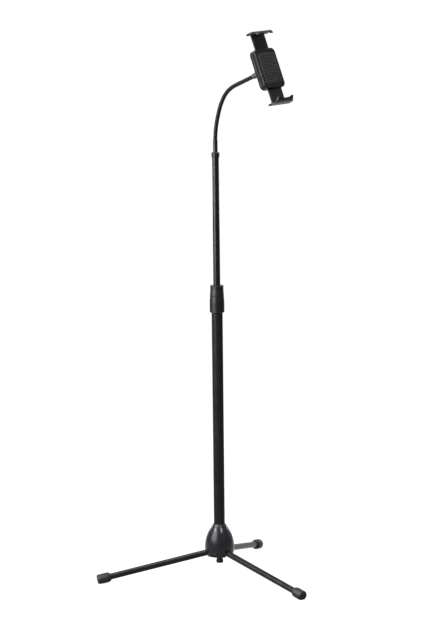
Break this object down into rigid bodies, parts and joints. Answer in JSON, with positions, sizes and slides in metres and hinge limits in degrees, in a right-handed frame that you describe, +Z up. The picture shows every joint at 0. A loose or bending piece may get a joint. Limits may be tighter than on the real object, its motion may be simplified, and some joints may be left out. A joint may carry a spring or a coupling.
{
  "type": "tablet tripod stand",
  "caption": "Floor stand with a folding tripod, telescopic mast, gooseneck and a tilting jaw holder for a tablet.",
  "frame": {"origin": "the floor under the middle of the footprint; the mast stands behind it on +Y", "axes": "+Z up the mast, -Y to the front, where the reader stands and one leg points, +X to the reader's right"},
  "size_m": [0.5066, 0.4407, 1.2698],
  "materials": {
    "hub_plastic": "satin, fine moulded grain",
    "trim_plastic": "satin black",
    "hub_casting": "black paint on a casting",
    "steel": "bright zinc plated",
    "knuckle_metal": "die-cast, plain",
    "leg_paint": "satin black powder coat",
    "foot_rubber": "matt",
    "lower_mast_paint": "satin black powder coat",
    "upper_mast_paint": "gloss black",
    "clutch_plastic": "satin black",
    "bush_plastic": "natural nylon",
    "collar_paint": "gloss black",
    "neck_coating": "black coated steel, finely ribbed",
    "sleeve_rubber": "shrink sleeve, satin",
    "holder_plastic": "gloss black",
    "pad_rubber": "soft, matt"
  },
  "bodies": {
    "base": {"hub_shell": "hub_plastic", "hub_top_ring": "trim_plastic", "hub_base_plate": "hub_plastic", "hub_shell_screws": "steel", "hub_fork": "hub_casting", "hub_socket": "hub_casting", "hub_bolts": "steel", "pivot_pins": "steel", "clamp_disc": "steel", "lock_stud": "steel", "mast_set_screw": "steel", "lower_tube": "lower_mast_paint", "clutch_body": "clutch_plastic"},
    "hub_knob": {"lock_knob": "trim_plastic"},
    "clutch_grip": {"clutch_nut": "clutch_plastic", "clutch_cap": "clutch_plastic"},
    "collet_sleeve": {"collet": "bush_plastic"},
    "upper_mast": {"upper_tube": "upper_mast_paint", "mast_bush": "bush_plastic", "mast_ferrule": "collar_paint", "ferrule_grub_screw": "steel", "neck_base": "neck_coating", "neck_sleeve": "sleeve_rubber"},
    "leg_front": {"leg_heel_front": "knuckle_metal", "leg_tube_front": "leg_paint", "foot_front": "foot_rubber"},
    "leg_right": {"leg_heel_right": "knuckle_metal", "leg_tube_right": "leg_paint", "foot_right": "foot_rubber"},
    "leg_left": {"leg_heel_left": "knuckle_metal", "leg_tube_left": "leg_paint", "foot_left": "foot_rubber"},
    "neck_1": {"neck_link_1": "neck_coating"},
    "neck_2": {"neck_link_2": "neck_coating"},
    "neck_3": {"neck_link_3": "neck_coating"},
    "neck_4": {"neck_link_4": "neck_coating"},
    "neck_5": {"neck_link_5": "neck_coating"},
    "neck_6": {"neck_link_6": "neck_coating"},
    "neck_7": {"neck_link_7": "neck_coating"},
    "neck_8": {"neck_link_8": "neck_coating", "ball_stud": "steel"},
    "seat": {"ball_seat": "bush_plastic"},
    "holder": {"housing_back": "holder_plastic", "housing_front": "holder_plastic", "front_pad": "pad_rubber", "housing_screws": "steel", "lower_arm": "holder_plastic", "lower_jaw_pad": "pad_rubber", "lock_nut": "steel", "lock_shoe": "bush_plastic"},
    "ring_nut": {"lock_ring": "trim_plastic"},
    "upper_jaw": {"upper_arm": "holder_plastic", "upper_jaw_pad": "pad_rubber"},
    "thumb_screw": {"jaw_lock_knob": "trim_plastic"}
  },
  "joints": [
    {"name": "leg_fold_front", "type": "hinge", "parent": "base", "child": "leg_front", "pos_m": [0, 0.04537, 0.06017], "axis": [1, 0, 0], "range_deg": [0, 78.8]},
    {"name": "leg_fold_right", "type": "hinge", "parent": "base", "child": "leg_right", "pos_m": [0.01905, 0.07837, 0.06017], "axis": [-0.5, 0.866, 0], "range_deg": [0, 78.8]},
    {"name": "leg_fold_left", "type": "hinge", "parent": "base", "child": "leg_left", "pos_m": [-0.01905, 0.07837, 0.06017], "axis": [-0.5, -0.866, 0], "range_deg": [0, 78.8]},
    {"name": "hub_knob_turn", "type": "hinge", "parent": "base", "child": "hub_knob", "pos_m": [0, 0.06736, 0.0333], "axis": [0, 0, -1], "range_deg": [0, 360]},
    {"name": "clutch_turn", "type": "hinge", "parent": "base", "child": "clutch_grip", "pos_m": [0, 0.06736, 0.65652], "axis": [0, 0, 1], "range_deg": [0, 180]},
    {"name": "mast_swivel", "type": "hinge", "parent": "base", "child": "collet_sleeve", "pos_m": [0, 0.06736, 0.65277], "axis": [0, 0, 1], "continuous": true},
    {"name": "mast_slide", "type": "slide", "parent": "collet_sleeve", "child": "upper_mast", "axis": [0, 0, 1], "range_m": [-0.29, 0.12]},
    {"name": "neck_bend_1", "type": "hinge", "parent": "upper_mast", "child": "neck_1", "pos_m": [0, 0.06517, 1.03791], "axis": [1, 0, 0], "range_deg": [-12, 12]},
    {"name": "neck_sway_2", "type": "hinge", "parent": "neck_1", "child": "neck_2", "pos_m": [0, 0.05921, 1.06371], "axis": [0, 0.9563, 0.2924], "range_deg": [-12, 12]},
    {"name": "neck_bend_3", "type": "hinge", "parent": "neck_2", "child": "neck_3", "pos_m": [0, 0.05015, 1.0886], "axis": [1, 0, 0], "range_deg": [-12, 12]},
    {"name": "neck_sway_4", "type": "hinge", "parent": "neck_3", "child": "neck_4", "pos_m": [0, 0.03733, 1.11173], "axis": [0, 0.8192, 0.5736], "range_deg": [-12, 12]},
    {"name": "neck_bend_5", "type": "hinge", "parent": "neck_4", "child": "neck_5", "pos_m": [0, 0.01869, 1.13038], "axis": [1, 0, 0], "range_deg": [-12, 12]},
    {"name": "neck_sway_6", "type": "hinge", "parent": "neck_5", "child": "neck_6", "pos_m": [0, -0.00465, 1.14279], "axis": [0, 0.3584, 0.9336], "range_deg": [-12, 12]},
    {"name": "neck_bend_7", "type": "hinge", "parent": "neck_6", "child": "neck_7", "pos_m": [0, -0.02939, 1.15228], "axis": [1, 0, 0], "range_deg": [-12, 12]},
    {"name": "neck_sway_8", "type": "hinge", "parent": "neck_7", "child": "neck_8", "pos_m": [0, -0.05413, 1.16178], "axis": [0, 0.3584, 0.9336], "range_deg": [-12, 12]},
    {"name": "ball_tilt", "type": "hinge", "parent": "neck_8", "child": "seat", "pos_m": [0, -0.09381, 1.17701], "axis": [0.9994, 0.0139, 0.032], "range_deg": [-30, 30]},
    {"name": "holder_turn", "type": "hinge", "parent": "seat", "child": "holder", "pos_m": [0, -0.09381, 1.17701], "axis": [0, -0.9171, 0.3987], "continuous": true},
    {"name": "ring_nut_turn", "type": "hinge", "parent": "holder", "child": "ring_nut", "pos_m": [0, -0.09381, 1.17701], "axis": [0, -0.9171, 0.3987], "range_deg": [0, 180]},
    {"name": "jaw_slide", "type": "slide", "parent": "holder", "child": "upper_jaw", "axis": [-0.0349, 0.3985, 0.9165], "range_m": [-0.024, 0.028]},
    {"name": "thumb_screw_turn", "type": "hinge", "parent": "holder", "child": "thumb_screw", "pos_m": [-0.00119, -0.08026, 1.20817], "axis": [0, -0.9171, 0.3987], "range_deg": [0, 360]}
  ],
  "couplings": [
    {"joint": "neck_bend_3", "follows": "neck_bend_1", "ratio": 1},
    {"joint": "neck_sway_4", "follows": "neck_sway_2", "ratio": 1},
    {"joint": "neck_bend_5", "follows": "neck_bend_1", "ratio": 1},
    {"joint": "neck_sway_6", "follows": "neck_sway_2", "ratio": 1},
    {"joint": "neck_bend_7", "follows": "neck_bend_1", "ratio": 1},
    {"joint": "neck_sway_8", "follows": "neck_sway_2", "ratio": 1}
  ]
}
